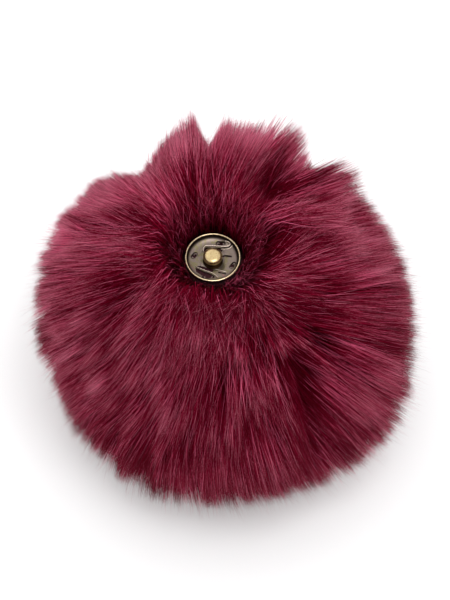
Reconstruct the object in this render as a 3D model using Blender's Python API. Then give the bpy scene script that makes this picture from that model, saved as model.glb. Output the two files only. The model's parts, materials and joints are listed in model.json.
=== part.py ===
"""Faux fur pom pom with a sew-on press stud.

A circle of long-pile fur cloth is gathered into a ball, and a metal press stud is sewn over the
gather. The pom pom lies on its pile with the stud facing up. The origin is on the surface that it
lies on, straight below the stud, and +Z runs up through the stud.
"""

import math
import random

import bmesh
import bpy
from mathutils import Matrix, Vector

MM = 0.001

# The ball of fur cloth
BALL_RADIUS = 24.0 * MM
BALL_CENTRE = Vector((0.0, 0.0, 41.0 * MM))
SEAT_HEIGHT = 22.0 * MM  # of the flat gather under the stud, above the ball's centre
BALL_SEGMENTS = 26
BALL_RINGS = 13

# The pile: its tips lie on a sphere that is set a little to the right and to the front
PILE_RADIUS = 51.5 * MM
PILE_OFFSET = Vector((3.4 * MM, -2.2 * MM, 0.0))
LOCK_PITCH = 4.95 * MM  # between neighbouring locks, on the ball
FIRST_ROOT = 25.5  # degrees from the stud's axis, for the ring of locks nearest the stud
FIRST_TIP = 36.0  # where the tips of that ring stand, since the pile leans away from the stud
BELLY = 0.60  # where a lock is widest, as a share of its length
SHOULDER = 0.82
BELLY_FILL = 0.75  # of the room between neighbours
SHOULDER_FILL = 0.50
ROOT_DEPTH = 0.80  # a lock starts at this share of the ball's radius, inside the ball
ROOT_FILL = 0.70
FLOOR_END = 3.2 * MM  # width of the level end of a lock that rests on the surface
FLOOR_SPLAY = 1.02  # the weight spreads the locks underneath
UNEVEN_LENGTH = 0.035
UNEVEN_TURN = 0.8  # degrees
SEED = 12

# Where the pile stands out or falls short: bearing from +X, angle from the stud's axis, change of
# reach and half width
TUFTS = (
    # name, bearing in degrees, from axis in degrees, reach in mm, half width in degrees
    ("back tuft, left", 104, 58, 3.4, 7),
    ("back cleft", 94, 60, -5.5, 4),
    ("back tuft, middle", 85, 58, 2.0, 6),
    ("back tuft, round", 69, 61, 1.5, 8),
    ("back right notch", 56, 63, -8.5, 6),
    ("right shoulder", 28, 74, -4.0, 13),
    ("back left dip", 124, 63, -9.0, 8),
    ("right side", -6, 92, -2.0, 8),
    ("front right bulge", -38, 106, 4.6, 22),
    ("front edge", -80, 120, 1.0, 24),
    ("left side", 190, 95, 0.8, 14),
)

# Lines that run away from the stud where the pile parts
PARTINGS = (
    # name, bearing, nearest and furthest from the axis, depth in mm, half width in degrees
    ("front right", -58, 52, 90, 4.0, 4),
    ("right", -20, 30, 66, 3.5, 5),
    ("front left", 216, 34, 62, 3.5, 6),
    ("front", 243, 30, 48, 2.5, 5),
    ("back left", 150, 34, 60, 2.0, 5),
)

# The rings of locks are not quite level round the ball
WAVES = (
    # name, waves in a turn, degrees up and down, bearing of a crest
    ("slow", 2, 2.2, 70),
    ("middling", 5, 1.6, 20),
    ("quick", 9, 1.0, 5),
)

# The press stud
PLATE_RADIUS = 7.5 * MM
PLATE_GAP = 0.3 * MM  # between the gathered cloth and the plate
RIM_TOP = 2.15 * MM
FLOOR_TOP = 0.80 * MM
WELL_WIDTH = 6.0 * MM
WELL_CORNER = 0.9 * MM
WELL_FLOOR = 0.35 * MM
HOLE_CIRCLE = 5.15 * MM
HOLE_LENGTH = 2.3 * MM
HOLE_WIDTH = 1.2 * MM
FIRST_HOLE = -17.0  # bearing in degrees
SLIT_LENGTH = 1.9 * MM
SLIT_WIDTH = 0.35 * MM
SLIT_CENTRE = (3.9 * MM, 1.2 * MM)
POST_GAP = 0.3 * MM
ROUND_STEPS = 48


def turned(from_axis, bearing):
    """The unit vector at these two angles, in degrees, from +Z and from +X."""
    a, b = math.radians(from_axis), math.radians(bearing)
    return Vector((math.sin(a) * math.cos(b), math.sin(a) * math.sin(b), math.cos(a)))


def bell(value, half_width):
    """1 at no distance, falling smoothly to nothing."""
    return math.exp(-0.5 * (value / half_width) ** 2)


def wrapped(degrees):
    """An angle brought between -180 and 180."""
    return (degrees + 180.0) % 360.0 - 180.0


def reach(from_axis, bearing):
    """How far the pile's tips stand from the ball's centre, in this direction."""
    way = turned(from_axis, bearing)
    along = way.dot(PILE_OFFSET)
    far = along + math.sqrt(along**2 + PILE_RADIUS**2 - PILE_OFFSET.length_squared)
    for _, tuft_bearing, tuft_from_axis, change, half_width in TUFTS:
        apart = math.degrees(way.angle(turned(tuft_from_axis, tuft_bearing), 0.0))
        far += change * MM * bell(apart, half_width)
    for _, line, near, end, depth, half_width in PARTINGS:
        aside = wrapped(bearing - line) * math.sin(math.radians(from_axis))
        beyond = max(near - from_axis, from_axis - end, 0.0)
        far -= depth * MM * bell(aside, half_width) * bell(beyond, half_width)
    return far


def wave(from_axis, bearing):
    """How far a ring of locks strays from level here, in degrees; nothing at the ball's ends."""
    stray = sum(
        degrees * math.cos(math.radians(number * (bearing - crest)))
        for _, number, degrees, crest in WAVES
    )
    return stray * math.sin(math.radians(from_axis)) ** 2


def clear_scene():
    for thing in list(bpy.data.objects):
        bpy.data.objects.remove(thing, do_unlink=True)


def material(name, colour, roughness, metallic):
    made = bpy.data.materials.new(name)
    made.use_nodes = True
    shader = made.node_tree.nodes["Principled BSDF"]
    shader.inputs["Base Color"].default_value = (*colour, 1.0)
    shader.inputs["Roughness"].default_value = roughness
    shader.inputs["Metallic"].default_value = metallic
    return made


def object_from(name, shape, finish=None):
    """An object that holds this bmesh, with its faces pointing out."""
    bmesh.ops.recalc_face_normals(shape, faces=shape.faces)
    mesh = bpy.data.meshes.new(name)
    shape.to_mesh(mesh)
    shape.free()
    made = bpy.data.objects.new(name, mesh)
    bpy.context.scene.collection.objects.link(made)
    if finish:
        mesh.materials.append(finish)
    return made


def bridged(shape, rings):
    """Walls between one ring of points and the next."""
    for low, high in zip(rings, rings[1:]):
        for i in range(len(low)):
            j = (i + 1) % len(low)
            shape.faces.new((low[i], low[j], high[j], high[i]))


def fan(shape, ring, point):
    """Faces from a ring of points to one point."""
    for i in range(len(ring)):
        shape.faces.new((ring[i], ring[(i + 1) % len(ring)], point))


# The ball of gathered cloth, flat where the stud is sewn


def ball_shape():
    shape = bmesh.new()
    rings = []
    for k in range(1, BALL_RINGS):
        a = math.pi * k / BALL_RINGS
        radius, height = BALL_RADIUS * math.sin(a), BALL_RADIUS * math.cos(a)
        height = min(height, SEAT_HEIGHT)
        turn = (k % 2) * math.pi / BALL_SEGMENTS
        ring = []
        for i in range(BALL_SEGMENTS):
            b = 2 * math.pi * i / BALL_SEGMENTS + turn
            point = Vector((radius * math.cos(b), radius * math.sin(b), height))
            ring.append(shape.verts.new(BALL_CENTRE + point))
        rings.append(ring)
    bridged(shape, rings)
    top = shape.verts.new(BALL_CENTRE + Vector((0, 0, SEAT_HEIGHT)))
    bottom = shape.verts.new(BALL_CENTRE - Vector((0, 0, BALL_RADIUS)))
    fan(shape, rings[0], top)
    fan(shape, rings[-1], bottom)
    bmesh.ops.triangulate(shape, faces=shape.faces)
    return shape


# The locks of pile, in rings round the stud's axis


def lock_rings():
    """The angles of each lock: root from the axis, tip from the axis, and bearing."""
    pitch = math.degrees(LOCK_PITCH / BALL_RADIUS)
    steps = round((180.0 - FIRST_ROOT) / pitch)
    for k in range(steps + 1):
        root = FIRST_ROOT + (180.0 - FIRST_ROOT) * k / steps
        tip = FIRST_TIP + (180.0 - FIRST_TIP) * k / steps
        round_it = 2 * math.pi * math.sin(math.radians(root)) * BALL_RADIUS
        count = max(1, int(round_it / LOCK_PITCH - 0.5))
        for i in range(count):
            bearing = 360.0 * (i + 0.5 * (k % 2)) / count
            yield root + wave(root, bearing), tip + wave(tip, bearing), bearing


def lock_line(root, tip, bearing, length):
    """The three points of the curve that a lock follows, and whether its tip is on the surface."""
    start = BALL_CENTRE + turned(root, bearing) * BALL_RADIUS * ROOT_DEPTH
    end = BALL_CENTRE + turned(tip, bearing) * reach(tip, bearing) * length
    rests = end.z <= 0.0
    if rests:
        end = Vector((end.x * FLOOR_SPLAY, end.y * FLOOR_SPLAY, 0.0))
    pile = (end - BALL_CENTRE).length - BALL_RADIUS
    middle = BALL_CENTRE + turned(root, bearing) * (BALL_RADIUS + 0.4 * pile)
    return (start, middle, end), rests


def on_curve(line, t):
    a, b, c = line
    return a * (1 - t) ** 2 + b * 2 * t * (1 - t) + c * t**2


def along_curve(line, t):
    a, b, c = line
    return ((b - a) * (1 - t) + (c - b) * t).normalized()


def square_ring(shape, centre, way, bearing, half_width):
    """Four points round a lock, across its way."""
    side = turned(90.0, bearing + 90.0)
    other = way.cross(side).normalized()
    side = other.cross(way).normalized()
    corners = ((-1, -1), (1, -1), (1, 1), (-1, 1))
    return [
        shape.verts.new(centre + side * u * half_width + other * v * half_width)
        for u, v in corners
    ]


def room(point):
    """The pitch of the locks at this point's distance from the ball's centre."""
    return LOCK_PITCH * (point - BALL_CENTRE).length / BALL_RADIUS


def add_lock(shape, line, bearing, rests):
    rings = []
    for t, fill in ((0.0, ROOT_FILL), (BELLY, BELLY_FILL), (SHOULDER, SHOULDER_FILL)):
        if rests and t == SHOULDER:
            continue
        centre = on_curve(line, t)
        half_width = 0.5 * fill * room(centre)
        rings.append(square_ring(shape, centre, along_curve(line, t), bearing, half_width))
    if rests:
        rings.append(square_ring(shape, line[2], Vector((0, 0, -1)), bearing, FLOOR_END / 2))
        shape.faces.new(rings[-1])
    else:
        fan(shape, rings[-1], shape.verts.new(line[2]))
    bridged(shape, rings)
    shape.faces.new(rings[0])


def locks_shape():
    shape = bmesh.new()
    chance = random.Random(SEED)
    for root, tip, bearing in lock_rings():
        length = 1.0 + chance.uniform(-UNEVEN_LENGTH, UNEVEN_LENGTH)
        if root < 180.0:
            tip += chance.uniform(-UNEVEN_TURN, UNEVEN_TURN)
        bearing += chance.uniform(-UNEVEN_TURN, UNEVEN_TURN)
        line, rests = lock_line(root, tip, bearing, length)
        add_lock(shape, line, bearing, rests)
    return shape


def make_pile(finish):
    """The ball with its locks fused to it by their roots."""
    pile = object_from("fur_pile", ball_shape(), finish)
    locks = object_from("locks", locks_shape())
    locks.hide_render = True
    locks.display_type = "WIRE"
    union = pile.modifiers.new("locks", "BOOLEAN")
    union.operation = "UNION"
    union.object = locks
    return pile


# The press stud: a dished plate with a rolled rim, and a post in a square well


def lathe(profile):
    """A solid turned round the axis through the origin, from a closed loop of radius and height."""
    shape = bmesh.new()
    rings = []
    for radius, height in profile:
        ring = []
        for i in range(ROUND_STEPS):
            b = 2 * math.pi * i / ROUND_STEPS
            ring.append(shape.verts.new((radius * math.cos(b), radius * math.sin(b), height)))
        rings.append(ring)
    bridged(shape, rings)
    shape.faces.new(rings[0])
    shape.faces.new(rings[-1])
    return shape


def plate_profile():
    """From the middle of the underside, out over the rim, and back in along the dish."""
    return (
        (3.0 * MM, 0.0),
        (5.9 * MM, 0.0),
        (6.5 * MM, 0.25 * MM),
        (7.05 * MM, 1.1 * MM),
        (7.4 * MM, 1.55 * MM),
        (PLATE_RADIUS, 1.85 * MM),
        (7.4 * MM, 2.08 * MM),
        (7.25 * MM, RIM_TOP),
        (7.0 * MM, RIM_TOP),
        (6.85 * MM, 1.95 * MM),
        (6.65 * MM, 1.45 * MM),
        (6.2 * MM, 0.98 * MM),
        (5.6 * MM, FLOOR_TOP),
        (3.0 * MM, FLOOR_TOP),
    )


def post_profile():
    """A foot, a neck and a round-edged head with a flat top."""
    return (
        (2.7 * MM, 0.0),
        (2.8 * MM, 0.25 * MM),
        (2.7 * MM, 0.62 * MM),
        (2.15 * MM, 0.95 * MM),
        (1.95 * MM, 1.5 * MM),
        (2.05 * MM, 1.95 * MM),
        (2.27 * MM, 2.4 * MM),
        (2.27 * MM, 2.75 * MM),
        (2.05 * MM, 3.15 * MM),
        (1.65 * MM, 3.38 * MM),
        (1.2 * MM, 3.45 * MM),
    )


def outline_prism(points, low, high):
    shape = bmesh.new()
    rings = [[shape.verts.new((x, y, z)) for x, y in points] for z in (low, high)]
    bridged(shape, rings)
    for ring in rings:
        shape.faces.new(ring)
    return shape


def rounded_square(width, corner):
    """The outline of a square with round corners."""
    points, straight = [], width / 2 - corner
    for quarter in range(4):
        middle = math.radians(45 + 90 * quarter)
        at = Vector((math.cos(middle), math.sin(middle))) * math.sqrt(2) * straight
        for step in range(4):
            a = math.radians(90 * quarter + 30 * step)
            points.append((at.x + corner * math.cos(a), at.y + corner * math.sin(a)))
    return points


def oval(length, width):
    """The outline of a slot with round ends, long along X."""
    points, straight, end = [], (length - width) / 2, width / 2
    for side in (1, -1):
        for step in range(7):
            a = math.radians(-90 + 30 * step)
            points.append((side * (straight + end * math.cos(a)), side * end * math.sin(a)))
    return points


def cut(target, name, shape, place):
    """A cutter that takes its shape out of the target."""
    cutter = object_from(name, shape)
    cutter.matrix_world = place
    cutter.hide_render = True
    cutter.display_type = "WIRE"
    modifier = target.modifiers.new(name, "BOOLEAN")
    modifier.operation = "DIFFERENCE"
    modifier.object = cutter


def make_plate(finish, place):
    plate = object_from("press_stud_plate", lathe(plate_profile()), finish)
    plate.matrix_world = place
    through = (-1.0 * MM, 2.0 * MM)
    for i in range(4):
        bearing = math.radians(FIRST_HOLE + 90 * i)
        around = Matrix.Rotation(bearing, 4, "Z")
        out = Matrix.Translation((HOLE_CIRCLE, 0, 0))
        across = Matrix.Rotation(math.radians(90), 4, "Z")
        hole = outline_prism(oval(HOLE_LENGTH, HOLE_WIDTH), *through)
        cut(plate, f"sewing_hole_{i + 1}", hole, place @ around @ out @ across)
    slit = outline_prism(oval(SLIT_LENGTH, SLIT_WIDTH), *through)
    cut(plate, "slit", slit, place @ Matrix.Translation((*SLIT_CENTRE, 0)))
    well = outline_prism(rounded_square(WELL_WIDTH, WELL_CORNER), WELL_FLOOR, 2.0 * MM)
    cut(plate, "well", well, place)
    return plate


def make_post(finish, place):
    post = object_from("press_stud_post", lathe(post_profile()), finish)
    post.matrix_world = place @ Matrix.Translation((0, 0, WELL_FLOOR + POST_GAP))
    post.data.shade_smooth()
    post.data.set_sharp_from_angle(angle=math.radians(40))
    return post


clear_scene()
make_pile(material("burgundy pile", (0.16, 0.012, 0.03), 0.8, 0.0))
stud_place = Matrix.Translation(BALL_CENTRE + Vector((0, 0, SEAT_HEIGHT + PLATE_GAP)))
make_plate(material("antique brass plate", (0.24, 0.19, 0.13), 0.35, 1.0), stud_place)
make_post(material("antique brass post", (0.62, 0.46, 0.20), 0.35, 1.0), stud_place)
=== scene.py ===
"""A burgundy faux fur pom pom with a sew-on press stud, lying on a pale floor.

The file follows the pom pom as it is made: the gathered ball of fur cloth, its pile, the press
stud that is sewn over the gather, and then the floor, the light and the camera.
"""

import json
import math

import bmesh
import bpy
import numpy as np
from mathutils import Matrix, Vector

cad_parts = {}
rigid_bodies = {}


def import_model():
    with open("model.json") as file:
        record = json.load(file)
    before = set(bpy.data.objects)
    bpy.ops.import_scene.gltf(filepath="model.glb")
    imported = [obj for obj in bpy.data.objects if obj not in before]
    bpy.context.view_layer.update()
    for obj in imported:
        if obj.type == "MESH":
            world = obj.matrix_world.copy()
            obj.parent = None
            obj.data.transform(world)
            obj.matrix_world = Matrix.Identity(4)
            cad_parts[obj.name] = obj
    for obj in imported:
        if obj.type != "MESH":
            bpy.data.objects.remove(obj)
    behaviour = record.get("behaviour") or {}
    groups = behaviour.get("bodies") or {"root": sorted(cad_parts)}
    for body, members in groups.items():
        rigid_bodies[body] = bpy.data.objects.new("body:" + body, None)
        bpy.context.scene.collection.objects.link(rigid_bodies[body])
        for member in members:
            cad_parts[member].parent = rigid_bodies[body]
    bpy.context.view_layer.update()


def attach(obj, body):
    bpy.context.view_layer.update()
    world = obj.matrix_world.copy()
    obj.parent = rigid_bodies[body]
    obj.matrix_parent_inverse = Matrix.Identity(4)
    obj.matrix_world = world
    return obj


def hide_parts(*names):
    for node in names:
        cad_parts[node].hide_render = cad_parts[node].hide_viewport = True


MM = 0.001

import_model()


# The ball. A circle of long-pile fur cloth is gathered by a thread round its edge and drawn up
# into a tight ball. The gather lies flat under the press stud, in soft puckers that run outwards.

BALL_RADIUS = 24.0 * MM
BALL_CENTRE = np.array((0.0, 0.0, 41.0 * MM))
SEAT_HEIGHT = 22.0 * MM  # of the flat gather, above the ball's centre
PUCKERS = 19
PUCKER_DEPTH = 0.5 * MM
PUCKER_RING = 28.0  # where they are deepest, in degrees from the axis
PUCKER_SPREAD = 14.0


class Tone:
    """A socket of a material's nodes, so that shader maths reads as plain sums."""

    def __init__(self, tree, socket=None):
        self.tree = tree
        self.socket = socket

    def node(self, kind, settings=None, sockets=None, out=0):
        """One of the outputs of a new node that has these settings and sockets."""
        made = self.tree.nodes.new("ShaderNode" + kind)
        for name, value in (settings or {}).items():
            if name == "stops":
                ramp = made.color_ramp
                while len(ramp.elements) < len(value):
                    ramp.elements.new(0.5)
                for stop, (place, colour) in zip(ramp.elements, value):
                    stop.position = place
                    stop.color = (*colour, 1.0)
            else:
                setattr(made, name, value)
        for name, value in (sockets or {}).items():
            if isinstance(value, Tone):
                self.tree.links.new(value.socket, made.inputs[name])
            else:
                made.inputs[name].default_value = value
        return Tone(self.tree, made.outputs[out])

    def sum_of(self, operation, first, second):
        return self.node("Math", {"operation": operation}, {0: first, 1: second})

    def __add__(self, other):
        return self.sum_of("ADD", self, other)

    def __radd__(self, other):
        return self.sum_of("ADD", other, self)

    def __sub__(self, other):
        return self.sum_of("SUBTRACT", self, other)

    def __rsub__(self, other):
        return self.sum_of("SUBTRACT", other, self)

    def __mul__(self, other):
        return self.sum_of("MULTIPLY", self, other)

    def __rmul__(self, other):
        return self.sum_of("MULTIPLY", other, self)

    def between(self, low, high):
        """0 below the low value, 1 above the high one, and smooth between."""
        return self.node(
            "MapRange",
            {"interpolation_type": "SMOOTHSTEP"},
            {"Value": self, "From Min": low, "From Max": high},
        )

    def blended(self, first, second):
        """The first colour where this is 0 and the second where it is 1."""
        return self.node(
            "Mix", {"data_type": "RGBA"}, {"Factor": self, 6: first, 7: second}, out=2
        )


def finish_named(name):
    """A new material, its shader node, and a Tone that adds nodes to it."""
    material = bpy.data.materials.new(name)
    material.use_nodes = True
    tree = material.node_tree
    return material, tree.nodes["Principled BSDF"], Tone(tree)


def set_sockets(shader, **values):
    """Constants and links of a shader's sockets, by name with _ for a space."""
    for name, value in values.items():
        socket = shader.inputs[name.replace("_", " ")]
        if isinstance(value, Tone):
            value.tree.links.new(value.socket, socket)
        else:
            socket.default_value = value


def shown(piece, slot, *nodes):
    """Puts a piece on the body and hides the CAD nodes that it stands for. The slot is not used."""
    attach(piece, "root")
    if nodes:
        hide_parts(*nodes)


def object_from(name, shape, material):
    """An object from a bmesh, smooth all over."""
    bmesh.ops.recalc_face_normals(shape, faces=shape.faces)
    mesh = bpy.data.meshes.new(name)
    shape.to_mesh(mesh)
    shape.free()
    mesh.materials.append(material)
    mesh.shade_smooth()
    made = bpy.data.objects.new(name, mesh)
    bpy.context.scene.collection.objects.link(made)
    return made


def gathered_ball():
    """A ball with soft puckers that run out from a flat gather on top."""
    shape = bmesh.new()
    bmesh.ops.create_uvsphere(shape, u_segments=6 * PUCKERS, v_segments=56, radius=BALL_RADIUS)
    for vert in shape.verts:
        from_axis = math.degrees(math.atan2(math.hypot(vert.co.x, vert.co.y), vert.co.z))
        bearing = math.atan2(vert.co.y, vert.co.x)
        near = math.exp(-(((from_axis - PUCKER_RING) / PUCKER_SPREAD) ** 2))
        fold = math.cos(PUCKERS * bearing + 1.3 * math.sin(3 * bearing))
        vert.co *= 1.0 + (fold - 1.0) * near * PUCKER_DEPTH / BALL_RADIUS
        vert.co.z = min(vert.co.z, SEAT_HEIGHT - PUCKER_DEPTH * 0.4 * (1.0 - fold) * near)
        vert.co += Vector(BALL_CENTRE)
    return shape


def backing_finish():
    """Knitted backing of the fur cloth, dark and matt."""
    material, shader, tone = finish_named("fur cloth backing")
    place = tone.node("TexCoord", out="Object")
    knit = tone.node("TexWave", {"wave_type": "BANDS"}, {"Vector": place, "Scale": 420.0})
    cloudy = tone.node("TexNoise", None, {"Vector": place, "Scale": 160.0, "Detail": 4.0})
    mix = (knit * 0.4 + cloudy * 0.6).blended((0.012, 0.001, 0.002, 1), (0.06, 0.004, 0.012, 1))
    bump = tone.node("Bump", None, {"Height": knit, "Strength": 0.3, "Distance": 0.0002})
    set_sockets(shader, Base_Color=mix, Roughness=0.95, Normal=bump)
    return material


ball = object_from("gathered_ball", gathered_ball(), backing_finish())
shown(ball, "fur_pile", "fur_pile")


# The pile. Fine acrylic hairs stand out from the cloth and lean away from the stud, so that the
# tips make a bigger ball round the cloth one. They cling together in wisps and locks, part along
# dark lines, and lie flat on the floor underneath.

PILE_RADIUS = 51.5 * MM
PILE_OFFSET = np.array((3.4, -2.2, 0.0)) * MM
PILE_GROWTH = 1.9 * MM  # thin tips hardly show, so the hairs are this much longer
FIRST_TIP = 27.0  # degrees from the stud's axis
HAIRS = 142000
WISPS = 4600
LOCKS = 420
HAIR_WIDTH = 0.110 * MM  # half of the width of a middling hair
ROOT_DEPTH = 0.97  # where the roots are in the cloth, as a share of the ball's radius
FLOOR_CLEAR = 0.3 * MM
FLOOR_LAYER = 1.2 * MM  # how thick the tips lie on the floor
FRONT = -90.0  # bearings, in degrees
BACK = 90.0
FRONT_WIDTH = 60.0  # how far these parts of the pile go to either side, in degrees
BACK_WIDTH = 52.0
SWEPT_WIDTH = 58.0

LEANING = (
    # degrees from the axis: of a hair's root on the ball, and of its tip
    (18.6, 27.0), (25.0, 36.5), (35.0, 53.0), (50.0, 73.0), (70.0, 94.0), (90.0, 113.0),
    (120.0, 138.0), (150.0, 160.0), (180.0, 180.0),
)  # fmt: skip
TUFTS = (
    # name, bearing in degrees, from axis in degrees, change of reach in mm, half width in
    # degrees, and the share by which the hairs nearby are drawn in to it
    ("back left dip", 112, 60, -3.4, 5, 0.0),
    ("back tuft, left", 98.5, 58, 3.2, 4.3, 0.30),
    ("back tuft, middle", 86, 58, 1.6, 3.5, 0.20),
    ("back dip", 77.5, 62, -8.0, 3.6, 0.0),
    ("back tuft, round", 65.5, 61, 6.2, 8.5, 0.0),
    ("back hollow", 78, 36, -4.0, 10, 0.0),
    ("back right hollow", 50, 47, -12.0, 8, 0.0),
    ("right hollow by the stud", 42, 36, -9.0, 9, 0.0),
    ("back right tuft", 41, 67, 4.6, 6, 0.10),
    ("right shoulder", 28, 74, -3.4, 13, 0.0),
    ("right side", -6, 94, -2.6, 9, 0.0),
    ("front right bulge", -36, 108, 4.4, 19, 0.0),
    ("front low", -62, 120, -1.0, 9, 0.0),
    ("front edge", -86, 120, 0.9, 22, 0.0),
    ("front left low", 246, 117, 2.4, 8, 0.0),
    ("left low", 205, 103, -2.2, 8, 0.0),
    ("left side", 180, 88, -0.6, 14, 0.0),
    ("left shoulder", 147, 66, -2.0, 9, 0.0),
)
PARTINGS = (
    # name, bearing, nearest and furthest from the axis, depth in mm, half width, push in degrees
    ("front right", -56, 58, 95, 9.5, 4.2, 3.6),
    ("front right, near", -45, 42, 54, 3.0, 6.0, 0.4),
    ("right", -20, 30, 66, 3.0, 5, 2.5),
    ("front left", 216, 34, 62, 5.0, 4.5, 3.5),
    ("front", 243, 30, 48, 2.5, 5, 2.0),
    ("left", 172, 30, 60, 4.0, 3.5, 3.0),
    ("low left", 236, 80, 98, 6.0, 3, 3.0),
    ("back left", 150, 34, 60, 2.0, 5, 2.0),
    ("back cleft", 91.6, 48, 70, 8.0, 2.2, 0.4),
    ("back right cleft", 50, 50, 98, 7.0, 3.6, 2.5),
    ("back left cleft", 124, 48, 95, 8.5, 7, 2.0),
)

CROWN_DIP = (
    # degrees from the axis, and the share of the full reach there: the crown dips to the stud
    (27.0, 0.865), (34.0, 0.91), (44.0, 0.96), (58.0, 1.0), (180.0, 1.0),
)  # fmt: skip

SWEPT_FLATTER = 15.0  # how much flatter the pile lies behind the stud, in degrees
SWEPT_TO = 72.0  # where that ends, in degrees from the axis
FRONT_CLEARANCE = 4.5  # how much further the tips in front stay from the stud's axis, in degrees
TURNED_OUT = 1.6  # times as far as they hang over
PRESSED_AT = 114.0  # where the floor has pressed the pile even, in degrees from the axis
PRESSED_SPREAD = 22.0
PRESSED_EVEN = 0.65

SWING = {
    # how far each kind of strand leans off its way, as a share of its reach
    "lock": 0.055,
    "locks nearby": 0.08,
    "wisp": 0.036,
    "root": 0.02,
    "hair": 0.012,
    "stray": 0.075,
}
SWING_BY_STUD = (0.045, 30.0, 12.0)  # more swing, its place from the axis and half width, in degrees
SWING_IN_FRONT = (0.05, 38.0, 8.0)
SHORTER = {"lock": 0.026, "wisp": 0.040, "hair": 0.045, "stray": 0.07}  # as a share of the reach
TINTED = {"lock": 0.13, "locks nearby": 0.09, "wisp": 0.22, "hair": 0.22}
WAVES = {"swing": 2.6, "tint": 4.0, "bend": 3.0, "lumps": 6.0}  # across the ball
PULL = (0.10, 0.45)  # of a wisp to the middle of its lock
CLING = (0.45, 0.95)  # of a hair to its wisp
LOCK_BEND = 1.0 * MM
BEND_NEARBY = 2.4  # times as much, in locks that bend alike
WAVINESS = 0.8 * MM  # of single hairs
LUMPS = 0.5 * MM
MIDDLE = 0.42  # of the way from the cloth to the tip, for the middle point of a hair's curve
LENGTH_LIMITS = (0.6, 1.12)
WIDTH_SPREAD = 0.22
WIDTH_LIMITS = (0.5, 1.6)
STRAYS = 0.13  # share of the hairs that cling to no wisp
STRAY_WIDTH = 0.5
SHEEN_PAINTED_SHARE = 0.14  # share of the hairs painted paler, as painted sheen where they catch the light

# tints: 0 is deep crimson, and 1 is mauve, the colour of painted sheen
MIDDLING_TINT = 0.24
SHEEN_PAINTED_TINT = 0.66  # painted sheen, more than the rest
# strays are painted paler too, as painted sheen where they cross over the pile
STRAY_TINT = 0.34
SIDES_PAINTED_LIGHT = (0.08, 0.10)  # painted light: paler on both sides alike, and more on the left than on the right
GATHER_PAINTED_SHADOW = (-0.46, 28.0, 6.0)  # painted shadow: change of tint, from axis and half width in degrees
RELIEF_PAINTED_LIGHT = 0.045  # painted light and shade: change of tint for each mm that the pile stands out or lies deep
RELIEF_PAINTED_LIMITS = (-13.0, 5.0)  # in mm
BANDS = (
    # painted light and shade, paler where the pile is lit and darker low in front where it lies in
    # shadow: name, bearing and half width round the ball, angle from axis and half width down it, all in
    # degrees, and change of tint
    ("back", BACK, BACK_WIDTH, 64, 17, 0.62),
    ("back, near the stud", BACK, BACK_WIDTH, 40, 7, 0.22),
    ("front, low", FRONT, FRONT_WIDTH, 94, 26, -0.42),
    ("front, near the stud", FRONT, FRONT_WIDTH, 51, 8, 0.14),
)
PAINTED_LIGHT_SPOTS = (
    # painted light and shade in spots, paler where lit and darker in shadow: name, bearing in degrees,
    # from axis in degrees, change of tint, half width in degrees
    ("hollow on the right behind the stud", 46, 50, -0.70, 10),
    ("right shoulder, behind", 20, 44, 0.18, 6),
    ("right shoulder", -2, 54, 0.24, 9),
    ("right side", -31, 76, 0.42, 12),
    ("front right", -54, 82, 0.14, 10),
    ("right, near the stud", -18, 31, 0.42, 7),
    ("right, behind the stud", 11, 32, -0.20, 6),
    ("beside the front right parting", -42, 49, -0.22, 8),
    ("front, near the stud", -68, 62, -0.22, 11),
    ("front left, near the stud", -130, 54, -0.28, 13),
    ("left side", -150, 74, 0.36, 11),
    ("left, near the stud", 172, 38, -0.22, 8),
    ("back left, near the stud", 156, 29, 0.34, 7),
    ("back, near the stud", 69, 34, 0.22, 6),
)

chance = np.random.default_rng(11)


def direction(from_axis, bearing):
    """Unit vectors at these angles, in degrees, from +Z and from +X."""
    a, b = np.radians(from_axis), np.radians(bearing)
    return np.stack([np.sin(a) * np.cos(b), np.sin(a) * np.sin(b), np.cos(a)], -1)


def angles(way):
    """The angles of unit vectors, in degrees, from +Z and from +X."""
    from_axis = np.degrees(np.arccos(np.clip(way[:, 2], -1.0, 1.0)))
    return from_axis, np.degrees(np.arctan2(way[:, 1], way[:, 0]))


def unit(vectors):
    """These vectors at length 1."""
    return vectors / np.maximum(np.linalg.norm(vectors, axis=1), 1e-9)[:, None]


def bell(value, half_width):
    """1 where the value is 0, and soon less on either side of the half width."""
    return np.exp(-0.5 * (value / half_width) ** 2)


def column(values):
    """These values as a column, to multiply rows by."""
    return np.asarray(values)[:, None]


def turn_from(bearing, line):
    """How far these bearings are past another one, from -180 to 180 degrees."""
    return (bearing - line + 180.0) % 360.0 - 180.0


def apart(way, from_axis, bearing):
    """The angles in degrees between unit vectors and the direction at these angles."""
    return np.degrees(np.arccos(np.clip(way @ direction(from_axis, bearing), -1.0, 1.0)))


def beside(parting, from_axis, bearing):
    """How far aside of a parting these places are, in degrees, and how much of it is there."""
    _, line, near, end, _, half_width, _ = parting
    aside = turn_from(bearing, line) * np.sin(np.radians(from_axis))
    beyond = np.maximum(np.maximum(near - from_axis, from_axis - end), 0.0)
    return aside, bell(beyond, half_width)


def even_reach(way):
    """How far the tips would stand from the ball's centre if they made an even ball."""
    along = way @ PILE_OFFSET
    return PILE_GROWTH + along + np.sqrt(along**2 + PILE_RADIUS**2 - PILE_OFFSET @ PILE_OFFSET)


def relief(way):
    """How far the tips stand out of the even ball at the tufts, or lie inside it, in mm."""
    total = np.zeros(len(way))
    for _, bearing, from_axis, change, half_width, _ in TUFTS:
        total += change * bell(apart(way, from_axis, bearing), half_width)
    from_axis, bearing = angles(way)
    for parting in PARTINGS:
        depth, half_width = parting[4], parting[5]
        aside, share = beside(parting, from_axis, bearing)
        total -= depth * bell(aside, half_width) * share
    return total


def reach(way):
    """How far the tips stand from the ball's centre."""
    from_axis, _ = angles(way)
    return (even_reach(way) + relief(way) * MM) * np.interp(from_axis, *zip(*CROWN_DIP))


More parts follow.
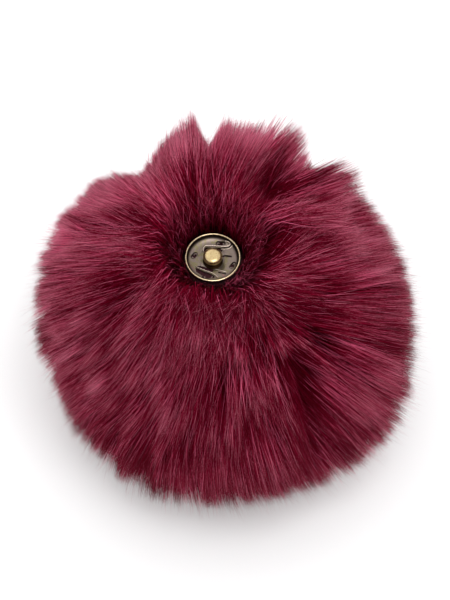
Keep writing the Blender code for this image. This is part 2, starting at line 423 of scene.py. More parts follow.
def drawn_in(way):
    """These ways, turned toward the pointed tufts nearby."""
    for _, bearing, from_axis, _, half_width, share in TUFTS:
        near = bell(apart(way, from_axis, bearing), 1.6 * half_width)
        way = unit(way + (direction(from_axis, bearing) - way) * column(share * near))
    return way


def parted(way):
    """These ways, turned so that they lean away from the partings on either side."""
    from_axis, bearing = angles(way)
    moved = bearing.copy()
    for parting in PARTINGS:
        half_width, push = parting[5], parting[6]
        aside, share = beside(parting, from_axis, bearing)
        unit_aside = aside / half_width
        turn = push * unit_aside * np.exp(0.5 - 0.5 * unit_aside**2) * share
        moved += turn / np.maximum(np.sin(np.radians(from_axis)), 0.3)
    return direction(from_axis, moved)


def swept_back(way):
    """These ways near the stud, turned away from it at the back, where the pile lies flatter."""
    from_axis, bearing = angles(way)
    back = bell(turn_from(bearing, BACK), SWEPT_WIDTH)
    near = np.clip((SWEPT_TO - from_axis) / (SWEPT_TO - FIRST_TIP), 0.0, 1.0)
    return direction(from_axis + SWEPT_FLATTER * back * near, bearing)


def clear_of_stud(way):
    """These ways, turned outward where they would hang over the stud, most of all in front."""
    from_axis, bearing = angles(way)
    least = FIRST_TIP + FRONT_CLEARANCE * bell(turn_from(bearing, FRONT), FRONT_WIDTH)
    over = np.maximum(least - from_axis, 0.0)
    return direction(from_axis + over * TURNED_OUT, bearing)


def drift(way, scale, columns=3):
    """Smooth random values that vary over the ball, about 1 in size; scale is in waves across."""
    waves = 7
    usual_sum = 1.9
    total = np.zeros((len(way), columns))
    for _ in range(waves):
        heading = chance.normal(0.0, scale, (3, columns))
        total += np.sin(way @ heading + chance.uniform(0.0, math.tau, columns))
    return total / usual_sum


def spiral(count, first):
    """Evenly spread ways from the first angle down, like the seeds of a sunflower."""
    golden_angle = 137.50776
    step = np.arange(count) + 0.5
    edge = math.cos(math.radians(first))
    from_axis = np.degrees(np.arccos(edge - step / count * (1.0 + edge)))
    return direction(from_axis, step * golden_angle)


def spread(count, first):
    """Random ways over the ball outside the first angle."""
    height = chance.uniform(-1.0, math.cos(math.radians(first)), count)
    return direction(np.degrees(np.arccos(height)), chance.uniform(0.0, 360.0, count))


def nearest(ways, guides):
    """For each way, the guide that points most nearly its way."""
    thin = guides.T.astype(np.float32)
    found = [np.argmax(part.astype(np.float32) @ thin, axis=1) for part in np.array_split(ways, 80)]
    return np.concatenate(found)


def unevenness(way):
    """1 over most of the ball, and less low down, where the floor has pressed the pile even."""
    from_axis, _ = angles(way)
    return 1.0 - PRESSED_EVEN * bell(from_axis - PRESSED_AT, PRESSED_SPREAD)


def wisps():
    """For each wisp: its way, that way as it clings to its lock, its share of the full reach, its
    tint, and its lock's swing and bend."""
    lock = spiral(LOCKS, FIRST_TIP)
    swing = chance.normal(0.0, SWING["lock"], (LOCKS, 3)) * column(unevenness(lock))
    swing += SWING["locks nearby"] * drift(lock, WAVES["swing"])
    share = 1.0 + chance.normal(0.0, SHORTER["lock"], LOCKS) * unevenness(lock)
    tint = chance.normal(0.0, TINTED["lock"], LOCKS)
    tint += TINTED["locks nearby"] * drift(lock, WAVES["tint"], 1)[:, 0]
    bend = chance.normal(0.0, 1.0, (LOCKS, 3)) + BEND_NEARBY * drift(lock, WAVES["bend"])

    way = spread(WISPS, FIRST_TIP)
    near = nearest(way, lock)
    clinging = way + swing[near]
    clinging += chance.normal(0.0, SWING["wisp"], (WISPS, 3)) * column(unevenness(way))
    clinging += (lock[near] - way) * column(chance.uniform(*PULL, WISPS))
    shorter = np.abs(chance.normal(0.0, SHORTER["wisp"], WISPS)) * unevenness(way)
    share = share[near] + 0.02 - shorter
    tint = tint[near] + chance.normal(0.0, TINTED["wisp"], WISPS)
    return way, clinging, share, tint, swing[near], bend[near] * LOCK_BEND


def looseness(way, stray):
    """How far each hair swings by itself: more by the stud, most of all in front of it."""
    from_axis, bearing = angles(way)
    loose = np.where(stray, SWING["stray"], SWING["hair"])
    more, place, half_width = SWING_BY_STUD
    loose += more * bell(from_axis - place, half_width)
    more, place, half_width = SWING_IN_FRONT
    front = bell(turn_from(bearing, FRONT), FRONT_WIDTH)
    return loose + more * bell(from_axis - place, half_width) * front


def laid_on_floor(tip, tip_way):
    """These tips, with those that would be under the floor laid on it and splayed outward."""
    sunk = np.maximum(FLOOR_CLEAR - tip[:, 2], 0.0)
    tip[:, :2] += unit(tip_way * (1.0, 1.0, 0.0))[:, :2] * column(0.5 * sunk)
    resting = FLOOR_CLEAR + chance.uniform(0.0, 1.0, len(tip)) * FLOOR_LAYER
    tip[:, 2] = np.where(sunk > 0.0, resting, tip[:, 2])
    return tip


def painted_light_and_shade(way, tip_way):
    """How much paler or darker the pile's tint is painted at each place, as painted light and shade."""
    from_axis, bearing = angles(way)
    alike, left = SIDES_PAINTED_LIGHT
    # painted light: the pile is paler on both sides, and more on the left
    shade = alike * way[:, 0] ** 2 - left * way[:, 0]
    for _, side, wide, down, high, change in BANDS:
        shade += change * bell(turn_from(bearing, side), wide) * bell(from_axis - down, high)
    # painted shadow: the gather is darker in front of the stud and behind it
    change, place, half_width = GATHER_PAINTED_SHADOW
    shade += change * bell(from_axis - place, half_width) * np.sin(np.radians(bearing)) ** 2
    for _, side, down, change, half_width in PAINTED_LIGHT_SPOTS:
        shade += change * bell(apart(way, down, side), half_width)
    # painted light and shade: pile that stands out is paler, and pile that lies deep in the partings and
    # hollows is darker
    return shade + RELIEF_PAINTED_LIGHT * np.clip(relief(tip_way), *RELIEF_PAINTED_LIMITS)


def hair_paths():
    """For each hair: its way, the three points of its curve, its tint, and half of its width."""
    wisp, clinging, wisp_share, wisp_tint, wisp_swing, wisp_bend = wisps()
    way = spread(HAIRS, FIRST_TIP)
    mine = nearest(way, wisp)
    stray = chance.uniform(0.0, 1.0, HAIRS) < STRAYS
    cling = np.where(stray, 0.0, chance.uniform(*CLING, HAIRS))
    from_axis, bearing = angles(way)
    root = np.interp(from_axis, *zip(*[(tip, root) for root, tip in LEANING]))
    root_way = unit(direction(root, bearing) + chance.normal(0.0, SWING["root"], (HAIRS, 3)))
    tip_way = way + wisp_swing[mine] * column(1.0 - cling)
    tip_way += (clinging[mine] - way) * column(cling)
    tip_way += chance.normal(0.0, 1.0, (HAIRS, 3)) * column(looseness(way, stray))
    tip_way = clear_of_stud(swept_back(parted(drawn_in(unit(tip_way)))))

    share = wisp_share[mine] - np.abs(chance.normal(0.0, SHORTER["hair"], HAIRS)) + 0.015
    share = np.where(stray, 1.01 + chance.normal(0.0, SHORTER["stray"], HAIRS), share)
    lumps = drift(way, WAVES["lumps"], 1)[:, 0] * LUMPS
    far = (reach(tip_way) + lumps - BALL_RADIUS) * np.clip(share, *LENGTH_LIMITS) + BALL_RADIUS
    tip = laid_on_floor(BALL_CENTRE + tip_way * column(far), tip_way)
    start = root_way * BALL_RADIUS * ROOT_DEPTH
    start[:, 2] = np.minimum(start[:, 2], SEAT_HEIGHT - PUCKER_DEPTH)
    start += BALL_CENTRE
    middle = BALL_CENTRE + root_way * column(BALL_RADIUS + MIDDLE * (far - BALL_RADIUS))
    middle += chance.normal(0.0, WAVINESS, (HAIRS, 3)) + wisp_bend[mine]

    sheen_painted = chance.uniform(0.0, 1.0, HAIRS) < SHEEN_PAINTED_SHARE
    tint = MIDDLING_TINT + wisp_tint[mine] + SHEEN_PAINTED_TINT * sheen_painted + STRAY_TINT * stray
    tint += chance.normal(0.0, TINTED["hair"], HAIRS) + painted_light_and_shade(way, tip_way)
    width = HAIR_WIDTH * np.clip(chance.normal(1.0, WIDTH_SPREAD, HAIRS), *WIDTH_LIMITS)
    width *= np.where(stray, STRAY_WIDTH, 1.0)
    return way, (start, middle, tip), np.clip(tint, 0.0, 1.0), width


MAP_STRIPE = 1.5 / 1024  # the width of a hair on its colour map
MAP_LENGTH = 0.11  # the length of a hair there
MAP_EDGE = 0.01
MAP_WIDTH = 0.97  # from the deepest tint to the palest


def hair_piece(name, curve, tint, width, material, rings):
    """One mesh of three-sided tapered hairs, with their tints and a map for their colours.
    The rings are pairs: how far along a hair, and its width there as a share of the width."""
    start, middle, tip = curve
    count = len(start)
    stations = (0.0, *(t for t, _ in rings), 1.0)
    centres = [start * (1 - t) ** 2 + middle * 2 * t * (1 - t) + tip * t**2 for t in stations]
    last = 3 * len(rings) + 1
    points = np.empty((count, last + 1, 3))
    points[:, 0], points[:, last] = start, tip
    anyway = chance.normal(0.0, 1.0, (count, 3))
    for ring, (_, wide) in enumerate(rings):
        way = unit(centres[ring + 2] - centres[ring])
        side = unit(np.cross(way, anyway))
        other = np.cross(way, side)
        for corner in range(3):
            a = math.tau * corner / 3
            offset = side * math.cos(a) + other * math.sin(a)
            points[:, 1 + 3 * ring + corner] = centres[ring + 1] + offset * column(width * wide)
    sides = ((0, 1), (1, 2), (2, 0))
    shape = [(0, 1 + b, 1 + a) for a, b in sides]
    for ring in range(len(rings) - 1):
        low, high = 1 + 3 * ring, 4 + 3 * ring
        for a, b in sides:
            shape += [(low + a, low + b, high + b), (low + a, high + b, high + a)]
    shape += [(last - 3 + a, last - 3 + b, last) for a, b in sides]
    faces = (np.arange(count)[:, None, None] * (last + 1) + np.array(shape)).reshape(-1, 3)
    mesh = bpy.data.meshes.new(name)
    mesh.from_pydata(points.reshape(-1, 3), np.empty((0, 2), int), faces)
    along = np.tile((0.0, *(t for t, _ in rings for _ in range(3)), 1.0), count)
    tints = np.repeat(tint, last + 1)
    for label, values in (("along", along), ("tint", tints)):
        layer = mesh.attributes.new(label, "FLOAT", "POINT")
        layer.data.foreach_set("value", values.astype(np.float32))
    stripe = np.tile((1, *(0, 1, 2) * len(rings), 1), count) * MAP_STRIPE
    places = MAP_EDGE + np.stack([MAP_WIDTH * tints + stripe, MAP_LENGTH * along], 1)
    layer = mesh.uv_layers.new(name="OFBake", do_init=False)
    layer.uv.foreach_set("vector", places[faces.ravel()].astype(np.float32).ravel())
    mesh.materials.append(material)
    mesh.shade_smooth()
    made = bpy.data.objects.new(name, mesh)
    bpy.context.scene.collection.objects.link(made)
    return made


def pile_finish():
    """Burgundy hair: deep crimson, darker at the root as painted shade, paler and pinker at the tip as
    painted light, and some strands mauve as painted sheen.
    """
    material, shader, tone = finish_named("burgundy acrylic pile")
    along = tone.node("Attribute", {"attribute_name": "along"}, out="Fac")
    tint = tone.node("Attribute", {"attribute_name": "tint"}, out="Fac")
    # painted shade at the root and painted light at the tip, along each hair
    deep = along.node(
        "ValToRGB",
        {
            "stops": (
                (0.0, (0.02, 0.0001, 0.001)),
                (0.45, (0.085, 0.0002, 0.005)),
                (0.85, (0.25, 0.0006, 0.021)),
                (1.0, (0.35, 0.006, 0.040)),
            )
        },
        {"Fac": along},
    )
    # the mauve of painted sheen, darker at the root and paler at the tip in the same way
    mauve = along.node(
        "ValToRGB",
        {
            "stops": (
                (0.0, (0.05, 0.0006, 0.006)),
                (0.45, (0.23, 0.007, 0.036)),
                (0.85, (0.79, 0.128, 0.250)),
                (1.0, (0.95, 0.31, 0.42)),
            )
        },
        {"Fac": along},
    )
    # painted shade: the lowest tints are darker still
    dark = tint.between(0.0, 0.3).blended((0.40, 0.3, 0.35, 1), (1, 1, 1, 1))
    deep = tone.node(
        "Mix",
        {"data_type": "RGBA", "blend_type": "MULTIPLY"},
        {"Factor": 1.0, 6: deep, 7: dark},
        out=2,
    )
    set_sockets(
        shader,
        Base_Color=tint.between(0.3, 0.95).blended(deep, mauve),
        Roughness=0.45,
        Specular_IOR_Level=0.02,
        Specular_Tint=(1.0, 0.45, 0.6, 1.0),
    )
    return material


REGIONS = ("right", "back", "left", "front", "crown", "under")


def region_of(way):
    """Which piece of the pile each hair belongs to, by where it points."""
    from_axis, bearing = angles(way)
    quarter = ((bearing + 45.0) % 360.0 // 90.0).astype(int)
    crown, under = REGIONS.index("crown"), REGIONS.index("under")
    return np.where(from_axis < 55.0, crown, np.where(from_axis > 130.0, under, quarter))


way, curve, tint, width = hair_paths()
region = region_of(way)
fur = pile_finish()
for number, region_name in enumerate(REGIONS):
    here = region == number
    piece = hair_piece(
        "pile_" + region_name,
        [points[here] for points in curve],
        tint[here],
        width[here],
        fur,
        rings=((0.68, 1.0),),
    )
    shown(piece, "fur_pile", "fur_pile")


# The collar. The pile's shorter hairs round the gather are crushed by the press stud. They stand
# every way and reach a little over its rim, less in front than behind.

COLLAR_HAIRS = 7000
COLLAR_ROOTS = (18.4, 27.0)  # degrees from the axis
COLLAR_FRONT = 34.0  # how far its front and back go to either side, in degrees
COLLAR_BACK = 50.0
COLLAR_LENGTHS = (4.0, 13.0)  # in mm
LONGER_BEHIND = 0.5  # as a share of the length
SHORTER_IN_FRONT = 0.3
COLLAR_LEAN = 36.0  # of a middling hair from upright, in degrees
COLLAR_LEAN_SPREAD = 13.0
COLLAR_LEANS = (16.0, 85.0)  # the least and the most
MORE_LEAN_IN_FRONT = 10.0
MORE_LEAST_IN_FRONT = 17.0
COLLAR_TWIST = 32.0  # how far the hairs turn aside, in degrees
LESS_TWIST_IN_FRONT = 14.0
COLLAR_WAVINESS = 0.12  # as a share of the length
COLLAR_WIDTH = 0.6 * HAIR_WIDTH
COLLAR_WIDTH_SPREAD = 0.2
COLLAR_WIDTH_LIMITS = (0.5, 1.5)
COLLAR_TINT = 0.34
COLLAR_TINT_SPREAD = 0.32
# painted shade: the collar in front of the stud is darker
DEEPER_IN_FRONT = 0.2
LOOSE_BACKING = 308.0  # bearing of a pale wisp of backing that has come loose, in degrees
LOOSE_WIDTH = 5.0
LOOSE_TINT = 0.75  # more than the rest


def collar_paths():
    """The three points of each short hair's curve, its tint, and half of its width."""
    root = chance.uniform(*COLLAR_ROOTS, COLLAR_HAIRS)
    bearing = chance.uniform(0.0, 360.0, COLLAR_HAIRS)
    front = bell(turn_from(bearing, FRONT), COLLAR_FRONT)
    back = bell(turn_from(bearing, BACK), COLLAR_BACK)
    start = direction(root, bearing) * BALL_RADIUS
    start[:, 2] = np.minimum(start[:, 2], SEAT_HEIGHT - PUCKER_DEPTH)
    length = chance.uniform(*COLLAR_LENGTHS, COLLAR_HAIRS) * MM
    length *= 1.0 + LONGER_BEHIND * back - SHORTER_IN_FRONT * front
    middling = COLLAR_LEAN + MORE_LEAN_IN_FRONT * front
    least, most = COLLAR_LEANS
    lean = chance.normal(middling, COLLAR_LEAN_SPREAD, COLLAR_HAIRS)
    lean = np.clip(lean, least + MORE_LEAST_IN_FRONT * front, most)
    twist = chance.normal(0.0, 1.0, COLLAR_HAIRS) * (COLLAR_TWIST - LESS_TWIST_IN_FRONT * front)
    way = direction(lean, bearing + twist)
    uneven = column(COLLAR_WAVINESS * length)
    middle = start + way * column(0.5 * length)
    middle += chance.normal(0.0, 1.0, (COLLAR_HAIRS, 3)) * uneven
    tip = start + way * column(length)
    tip += chance.normal(0.0, 1.0, (COLLAR_HAIRS, 3)) * uneven
    tint = chance.normal(COLLAR_TINT - DEEPER_IN_FRONT * front, COLLAR_TINT_SPREAD, COLLAR_HAIRS)
    tint += LOOSE_TINT * bell(bearing - LOOSE_BACKING, LOOSE_WIDTH)
    uneven_width = chance.normal(1.0, COLLAR_WIDTH_SPREAD, COLLAR_HAIRS)
    width = COLLAR_WIDTH * np.clip(uneven_width, *COLLAR_WIDTH_LIMITS)
    return [points + BALL_CENTRE for points in (start, middle, tip)], np.clip(tint, 0.0, 1.0), width


curve, tint, width = collar_paths()
collar = hair_piece("pile_collar", curve, tint, width, fur, rings=((0.35, 1.0), (0.72, 0.75)))
shown(collar, "fur_pile", "fur_pile")


# The plate of the press stud. It is pressed from thin brass, with a dished floor, a rim that is
# rolled over and rubbed bright, four sewing holes, a slit, a rounded square well for the post,
# and cuts beside the lips. It is sewn down over the gather.

STUD_GAP = 0.3 * MM  # from the gather up to the plate's underside
STUD_BASE = BALL_CENTRE[2] + SEAT_HEIGHT + STUD_GAP
STUD_TILT = 2.0  # degrees, down at the front
PLATE_STEPS = 128
WELL_WIDTH = 6.2 * MM
WELL_CORNER = 0.8 * MM
WELL_FLOOR = 0.15 * MM
CUT_FROM = -1.0 * MM  # the cutters stand past the plate on both sides
CUT_TO = 3.0 * MM
CUT_EDGE = 0.09 * MM  # how far the cut edges are rounded
HOLES = (
    # name, x and y in mm, heading of the long way in degrees, length and width in mm
    ("right", 5.3, -1.6, 55.0, 2.3, 1.25),
    ("top", 2.1, 5.12, -6.0, 2.7, 1.25),
    ("left", -4.95, 1.45, 55.0, 2.3, 1.3),
    ("bottom", -1.2, -5.15, 4.0, 3.4, 0.9),
)
SLIT = (2.8, 1.45, 4.85, 1.13, 0.54)  # its two ends and width, in mm
CUTS = (
    # x and y in mm of the corners of the cuts beside the lips
    ((-2.35, 2.5), (2.3, 2.6), (2.6, 3.5), (2.3, 3.85), (-1.9, 4.05), (-2.4, 3.4)),
    ((-4.2, -1.85), (-2.8, -1.7), (-1.0, -2.35), (0.3, -2.75), (-0.1, -3.7), (-2.1, -3.1), (-4.1, -2.2)),
    ((-4.6, -2.3), (-2.4, -3.4), (-0.4, -4.2), (0.7, -5.2), (-0.9, -5.0), (-2.9, -4.75), (-4.4, -3.6)),
    ((1.45, -3.5), (3.6, -4.05), (3.6, -4.4), (1.45, -3.9)),
    ((2.6, 3.95), (4.2, 4.0), (4.8, 4.6), (4.95, 4.5), (4.5, 3.75), (2.7, 3.65)),
)
PLATE_PROFILE = (
    # radius and height in mm, from under the middle, out round the rim and back along the dish
    (0.0, 0.0), (5.9, 0.0), (6.3, 0.08), (6.55, 0.28), (6.8, 0.7), (7.05, 1.15), (7.3, 1.45),
    (7.44, 1.66), (7.5, 1.86), (7.49, 2.0), (7.42, 2.13), (7.3, 2.22), (7.16, 2.24), (7.04, 2.18),
    (6.98, 2.04), (6.95, 1.85), (6.9, 1.45), (6.78, 1.15), (6.55, 0.93), (6.2, 0.75), (5.7, 0.6),
    (5.2, 0.52), (4.6, 0.5), (3.4, 0.5), (0.0, 0.5),
)  # fmt: skip


def lathe(profile, steps):
    """A solid turned from pairs of radius and height, in mm, that start and end on the axis."""
    shape = bmesh.new()
    rings = []
    for radius, height in profile:
        if radius == 0.0:
            rings.append([shape.verts.new((0.0, 0.0, height * MM))])
            continue
        ring = []
        for i in range(steps):
            a = math.tau * i / steps
            place = (radius * math.cos(a), radius * math.sin(a), height)
            ring.append(shape.verts.new(Vector(place) * MM))
        rings.append(ring)
    for low, high in zip(rings, rings[1:]):
        for i in range(steps):
            j = (i + 1) % steps
            corners = [low[i % len(low)], low[j % len(low)], high[j % len(high)], high[i % len(high)]]
            shape.faces.new(list(dict.fromkeys(corners)))
    return shape


def prism(points, low, high):
    """A cutter from an outline of points, between two heights."""
    shape = bmesh.new()
    rings = [[shape.verts.new((x, y, z)) for x, y in points] for z in (low, high)]
    for i in range(len(points)):
        j = (i + 1) % len(points)
        shape.faces.new((rings[0][i], rings[0][j], rings[1][j], rings[1][i]))
    for ring in rings:
        shape.faces.new(ring)
    return shape


def slot_outline(start, end, wide):
    """The outline of a slot with round ends, between two points."""
    start, end = Vector(start), Vector(end)
    heading = math.atan2(end.y - start.y, end.x - start.x)
    points = []
    for middle, turn in ((end, -90), (start, 90)):
        for step in range(9):
            a = heading + math.radians(turn + 22.5 * step)
            points.append((middle.x + wide / 2 * math.cos(a), middle.y + wide / 2 * math.sin(a)))
    return points


def hole_outline(x, y, heading, length, wide):
    """A sewing hole about a place on the plate, long along its heading."""
    along = Vector((math.cos(math.radians(heading)), math.sin(math.radians(heading))))
    along *= (length - wide) / 2 * MM
    middle = Vector((x, y)) * MM
    return slot_outline(middle - along, middle + along, wide * MM)


def rounded_square(wide, corner):
    """The outline of a square with round corners."""
    points, straight = [], wide / 2 - corner
    for quarter in range(4):
        at = Matrix.Rotation(math.radians(90 * quarter), 2) @ Vector((straight, straight))
        for step in range(7):
            a = math.radians(90 * quarter + 15 * step)
            points.append((at.x + corner * math.cos(a), at.y + corner * math.sin(a)))
    return points


def seated(piece, height=0.0):
    """Puts a piece of the stud, drawn over the plate's underside, where it is sewn down."""
    piece.location = (0.0, 0.0, STUD_BASE + height)
    piece.rotation_euler = (math.radians(STUD_TILT), 0.0, 0.0)
    return piece


def applied(piece):
    """Makes a piece's modifiers part of its mesh."""
    depsgraph = bpy.context.evaluated_depsgraph_get()
    mesh = bpy.data.meshes.new_from_object(piece.evaluated_get(depsgraph))
    piece.modifiers.clear()
    piece.data = mesh


def brass_finish(name, rubbed_low, rubbed_high, dark, bright, wall_shade=None):
    """Antique brass: brown in its hollows, with cloudy stains, and rubbed bright where it stands proud,
    between two heights in metres. The wall shade is painted shade, a dark colour that comes in between
    two heights and lies above them, below the rubbed part."""
    material, shader, tone = finish_named(name)
    place = tone.node("TexCoord", out="Object")
    height = tone.node("SeparateXYZ", None, {"Vector": place}, out="Z")
    stains = tone.node(
        "TexNoise", None, {"Vector": place, "Scale": 900.0, "Detail": 5.0, "Roughness": 0.6}
    )
    grain = tone.node("TexNoise", None, {"Vector": place, "Scale": 5200.0, "Detail": 3.0})
    rubbed = (height + (stains - 0.5) * 0.0005).between(rubbed_low, rubbed_high)
    patina_and_shade = stains.between(0.42, 0.62).blended(*dark)
    # painted shade on the walls under the rolled rim
    if wall_shade:
        low, high, wall_shade_colour = wall_shade
        patina_and_shade = height.between(low, high).blended(patina_and_shade, wall_shade_colour)
    worn = rubbed.blended(patina_and_shade, bright)
    stained = (stains * 0.55 + grain * 0.45).between(0.35, 0.65)
    darker = tone.node(
        "Mix",
        {"data_type": "RGBA", "blend_type": "MULTIPLY"},
        {"Factor": 1.0, 6: worn, 7: stained.blended((0.72, 0.68, 0.62, 1), (1, 1, 1, 1))},
        out=2,
    )
    bump = tone.node("Bump", None, {"Height": grain, "Strength": 0.12, "Distance": 0.00004})
    set_sockets(
        shader,
        Base_Color=darker,
        Roughness=0.42 - rubbed * 0.14 + (stains - 0.5) * 0.2,
        Metallic=1.0,
        Normal=bump,
    )
    return material


def make_plate():
    """The plate, turned from its profile and then cut through and rounded at the cuts."""
    finish = brass_finish(
        "antique brass plate",
        1.95 * MM,
        2.15 * MM,
        ((0.28, 0.222, 0.205, 1), (0.23, 0.195, 0.11, 1)),
        (0.98, 0.79, 0.52, 1),
        # painted shade on the rim's walls, from 0.7 to 1.1 mm up to the rubbed rim
        wall_shade=(0.70 * MM, 1.1 * MM, (0.06, 0.044, 0.04, 1)),
    )
    plate = object_from("stud_plate", lathe(PLATE_PROFILE, PLATE_STEPS), finish)
    outlines = [(hole_outline(*hole[1:]), CUT_FROM) for hole in HOLES]
    x1, y1, x2, y2, wide = (n * MM for n in SLIT)
    outlines.append((slot_outline((x1, y1), (x2, y2), wide), CUT_FROM))
    outlines.append((rounded_square(WELL_WIDTH, WELL_CORNER), WELL_FLOOR))
    outlines += [([(x * MM, y * MM) for x, y in cut], CUT_FROM) for cut in CUTS]
    for number, (points, low) in enumerate(outlines):
        cutter = object_from(f"plate_cutter_{number}", prism(points, low, CUT_TO), finish)
        cut = plate.modifiers.new(cutter.name, "BOOLEAN")
        cut.operation = "DIFFERENCE"
        cut.object = cutter
    edges = plate.modifiers.new("rounded edges", "BEVEL")
    edges.width = CUT_EDGE
    edges.segments = 2
    edges.limit_method = "ANGLE"
    edges.angle_limit = math.radians(50)
    applied(plate)
    for number in range(len(outlines)):
        bpy.data.objects.remove(bpy.data.objects[f"plate_cutter_{number}"])
    plate.data.shade_smooth()
    plate.data.set_sharp_from_angle(angle=math.radians(45))
    return plate


shown(seated(make_plate()), "press_stud_plate", "press_stud_plate")


# The lips. Tongues of the plate are lanced and turned up to brace the post, and their bright
# edges stand over the dark cuts.

LIPS = (
    # half thickness, then x, y and height over the plate's underside along each edge, in mm
    (
        0.10, (-2.5, 2.7, 0.6), (-2.6, 3.3, 0.75), (-2.25, 4.3, 0.85), (-1.3, 4.33, 0.9),
        (0.8, 4.25, 0.9), (2.7, 4.05, 0.9), (3.9, 4.05, 0.9), (4.75, 4.45, 0.95),
        (4.6, 5.05, 1.05), (4.1, 5.4, 1.15), (3.3, 5.6, 1.1),
    ),
    (0.08, (2.2, 3.4, 0.5), (3.4, 3.2, 0.65), (4.7, 3.5, 0.75), (5.4, 4.2, 1.0), (5.2, 4.7, 1.1)),
    (
        0.10, (-4.5, -1.9, 0.7), (-4.2, -2.4, 0.85), (-2.2, -3.35, 0.95), (-0.3, -4.0, 0.95),
        (0.7, -4.65, 0.9), (1.3, -5.45, 0.8),
    ),
    (0.09, (0.65, -2.75, 0.5), (1.8, -3.15, 0.7), (3.6, -3.75, 0.65)),
)  # fmt: skip


def tube(name, path, thick, material, rings=8):
    """A round wire of even thickness along a smooth path of points, closed at its ends."""
    line = bpy.data.curves.new(name, "CURVE")
    line.dimensions = "3D"
    line.bevel_depth = thick
    line.bevel_resolution = 3
    line.use_fill_caps = True
    line.resolution_u = rings
    spline = line.splines.new("NURBS")
    spline.points.add(len(path) - 1)
    for point, place in zip(spline.points, path):
        point.co = (*place, 1.0)
    spline.use_endpoint_u = True
    spline.order_u = 4 if len(path) > 3 else 3
    drawn = bpy.data.objects.new(name, line)
    bpy.context.scene.collection.objects.link(drawn)
    bpy.context.view_layer.update()
    mesh = bpy.data.meshes.new_from_object(drawn)
    bpy.data.objects.remove(drawn)
    mesh.materials.append(material)
    mesh.shade_smooth()
    made = bpy.data.objects.new(name, mesh)
    bpy.context.scene.collection.objects.link(made)
    return made


lip_brass = brass_finish(
    "antique brass lips",
    0.5 * MM,
    0.65 * MM,
    ((0.2, 0.16, 0.14, 1), (0.12, 0.1, 0.07, 1)),
    (1.0, 0.84, 0.74, 1),
)
for number, (thick, *lip) in enumerate(LIPS):
    path = [(x * MM, y * MM, z * MM) for x, y, z in lip]
    shown(seated(tube(f"stud_lip_{number + 1}", path, thick * MM, lip_brass)), "press_stud_plate")


# The post of the press stud. It is a hollow brass ball with a flattened top on a short neck, turned over
# at its foot to clinch it in the well. Only the head is bright, partly rubbed and partly painted light
# on its upper side, and the dark brown below it is partly patina and partly painted shade.

POST_PROFILE = (
    # radius and height in mm over the well's floor
    (0.0, 0.0), (2.55, 0.0), (2.68, 0.08), (2.68, 0.2), (2.55, 0.32), (2.35, 0.5), (2.17, 0.75),
    (2.15, 1.0), (2.25, 1.3), (2.42, 1.6), (2.55, 1.9), (2.6, 2.15), (2.59, 2.4), (2.51, 2.65),
    (2.38, 2.86), (2.18, 3.04), (1.92, 3.18), (1.6, 3.28), (1.25, 3.33), (0.9, 3.34), (0.5, 3.31),
    (0.0, 3.29),
)  # fmt: skip

# brighter up the head and dark brown low down: partly rubbed wear and patina, partly painted light and
# shade
post_brass = brass_finish(
    "antique brass post",
    1.5 * MM,
    2.6 * MM,
    ((0.06, 0.034, 0.017, 1), (0.09, 0.055, 0.025, 1)),
    (0.70, 0.54, 0.29, 1),
)
post = object_from("stud_post", lathe(POST_PROFILE, 64), post_brass)
shown(seated(post, WELL_FLOOR), "press_stud_post", "press_stud_post")


# The sewing thread. Brown twisted thread comes up through each hole and goes down beside itself,
# twice over, and holds the plate to the gathered cloth.

THREAD_WIDTH = 0.17 * MM  # half of its thickness
THREAD_APART = 0.24  # from the hole's middle to each loop, as a share of the hole's length
THREAD_LOOP = (
    # outward, along the hole, and up from the plate's underside, in mm
    (-0.3, 0.1, -0.2), (-0.3, 0.2, 0.2), (-0.05, 0.28, 0.35),
    (0.25, 0.1, 0.35), (0.32, -0.1, 0.1), (0.3, -0.1, -0.2),
)  # fmt: skip


def thread_finish():
    """Dull brown thread, with painted shade dark between its twisted strands."""
    material, shader, tone = finish_named("sewing thread")
    place = tone.node("TexCoord", out="Object")
    twist = tone.node("TexWave", {"bands_direction": "DIAGONAL"}, {"Vector": place, "Scale": 2600.0})
    # painted shade in the grooves between the twisted strands
    colour = twist.blended((0.08, 0.045, 0.04, 1), (0.36, 0.27, 0.23, 1))
    bump = tone.node("Bump", None, {"Height": twist, "Strength": 0.5, "Distance": 0.00005})
    set_sockets(shader, Base_Color=colour, Roughness=0.7, Normal=bump)
    return material


thread = thread_finish()
for hole_name, x, y, heading, length, wide in HOLES:
    along = Vector((math.cos(math.radians(heading)), math.sin(math.radians(heading)), 0.0))
    out = Vector((x, y, 0.0)).normalized()
    for side in (-1, 1):
        middle = Vector((x, y, 0.0)) + along * side * THREAD_APART * length
        path = [
            (middle + out * u + along * side * v + Vector((0.0, 0.0, rise))) * MM
            for u, v, rise in THREAD_LOOP
        ]
        name = f"thread_{hole_name}_{'a' if side < 0 else 'b'}"
        shown(seated(tube(name, path, THREAD_WIDTH, thread, rings=4)), "fur_pile")


# The floor, the light and the camera. The pom pom lies on a white sweep under one broad soft
# lamp, high over its front, with white all round.

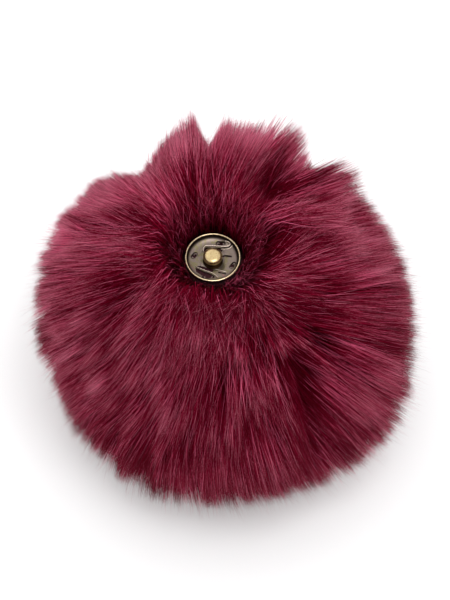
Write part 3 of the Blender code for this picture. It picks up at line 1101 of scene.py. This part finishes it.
CAMERA_HEIGHT = 59.0  # degrees above the floor
CAMERA_LENS = 135.0
CAMERA_AWAY = 0.600  # metres from the point that it looks at
LOOKED_AT = np.array((3.26, -9.43, 58.8)) * MM
ROOM_LIGHT = 1.12  # strength of the white all round
FLOOR_SIZE = 3.0

floor_shape = bmesh.new()
bmesh.ops.create_grid(floor_shape, x_segments=1, y_segments=1, size=FLOOR_SIZE)
floor_finish, floor_shader, floor_tone = finish_named("white sweep")
floor_noise = floor_tone.node("TexNoise", None, {"Scale": 3.0})
set_sockets(
    floor_shader,
    Base_Color=floor_noise.blended((0.93, 0.93, 0.935, 1), (0.95, 0.95, 0.95, 1)),
    Roughness=0.9,
    Specular_IOR_Level=0.1,
)
floor = object_from("floor", floor_shape, floor_finish)

world = bpy.data.worlds.new("white room")
bpy.context.scene.world = world
world.use_nodes = True
world.node_tree.nodes["Background"].inputs["Color"].default_value = (1.0, 1.0, 1.0, 1.0)
world.node_tree.nodes["Background"].inputs["Strength"].default_value = ROOM_LIGHT


def lamp(name, place, wide, power):
    """A square soft lamp that faces the pom pom, with its place and width in metres."""
    data = bpy.data.lights.new(name, "AREA")
    data.size = wide
    data.energy = power
    made = bpy.data.objects.new(name, data)
    made.location = place
    made.rotation_euler = (Vector(BALL_CENTRE) - Vector(place)).to_track_quat("-Z", "Y").to_euler()
    bpy.context.scene.collection.objects.link(made)


lamp("key lamp", (0.12, -0.26, 0.95), 0.40, 2.6)
lamp("back lamp", (-0.30, 0.60, 0.75), 0.50, 0.4)

camera_data = bpy.data.cameras.new("camera")
camera_data.lens = CAMERA_LENS
camera_data.sensor_width = 36.0
camera_data.clip_start = 0.01
camera = bpy.data.objects.new("camera", camera_data)
height = math.radians(CAMERA_HEIGHT)
back = Vector((0.0, -math.cos(height), math.sin(height)))
camera.location = Vector(LOOKED_AT) + back * CAMERA_AWAY
camera.rotation_euler = (-back).to_track_quat("-Z", "Y").to_euler()
bpy.context.scene.collection.objects.link(camera)
bpy.context.scene.camera = camera
bpy.context.scene.view_settings.view_transform = "Standard"
